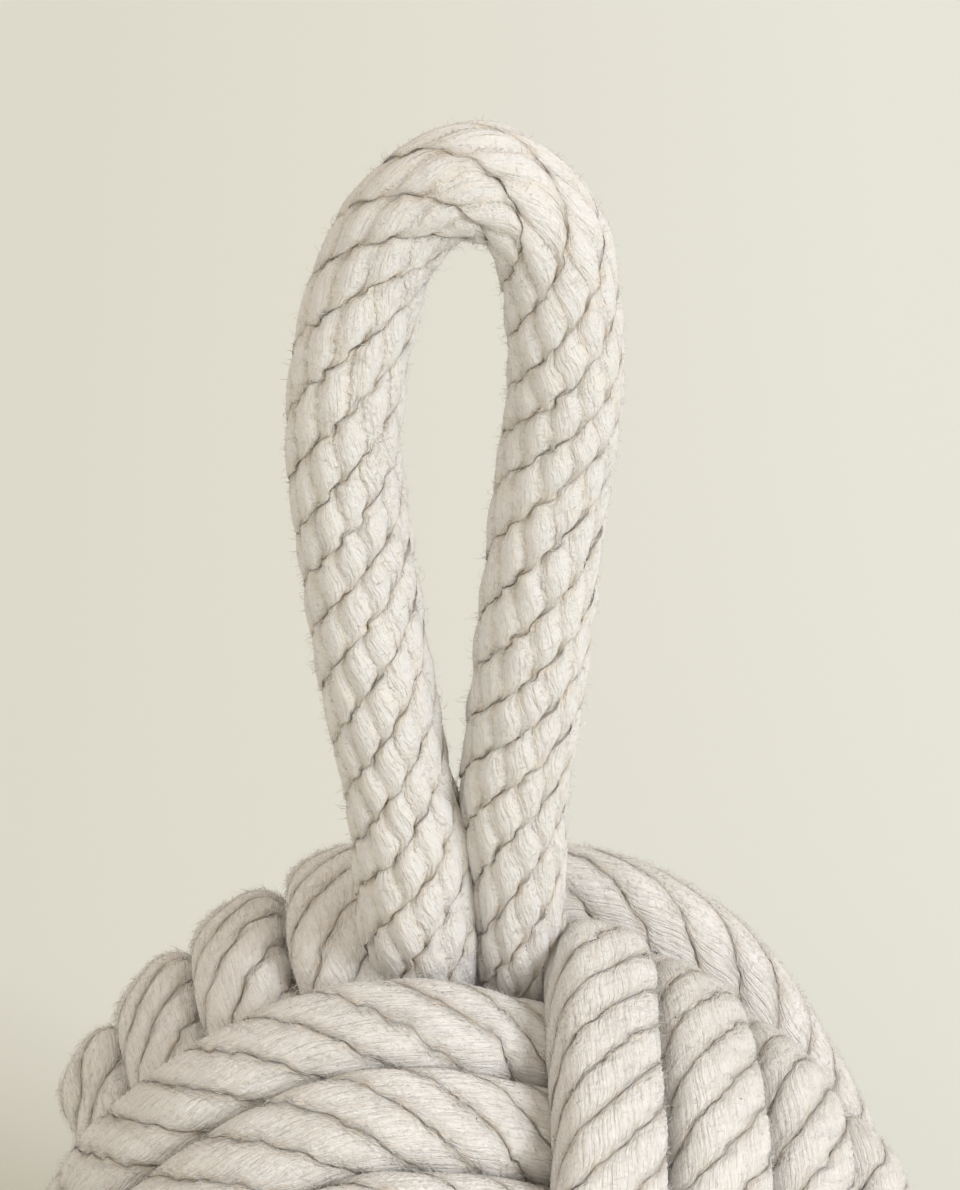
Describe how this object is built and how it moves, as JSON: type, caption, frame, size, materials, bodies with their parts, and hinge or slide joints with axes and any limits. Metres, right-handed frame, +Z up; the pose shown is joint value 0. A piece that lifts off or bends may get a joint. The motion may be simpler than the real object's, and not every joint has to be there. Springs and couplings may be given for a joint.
{
  "type": "rope knot doorstop",
  "caption": "Weighted doorstop: a ball of thick rope woven in over-and-under bands round a filled core, with a stiff rope loop on top as its handle.",
  "frame": {"origin": "on the floor under the middle of the ball", "axes": "+Z up along the handle, -Y towards the viewer of the picture, +X to the viewer's right, in the plane of the handle loop"},
  "size_m": [0.1302, 0.1299, 0.243],
  "materials": {
    "cotton_rope": "undyed laid cotton rope, matt and slightly hairy",
    "calico": "plain woven calico",
    "sand": "dry sand",
    "twine": "thin natural twine"
  },
  "bodies": {
    "root": {"knot_rope": "cotton_rope", "handle_rope": "cotton_rope", "core_bag": "calico", "sand_fill": "sand", "bag_tie": "twine", "leg_lashing": "twine"}
  },
  "joints": []
}
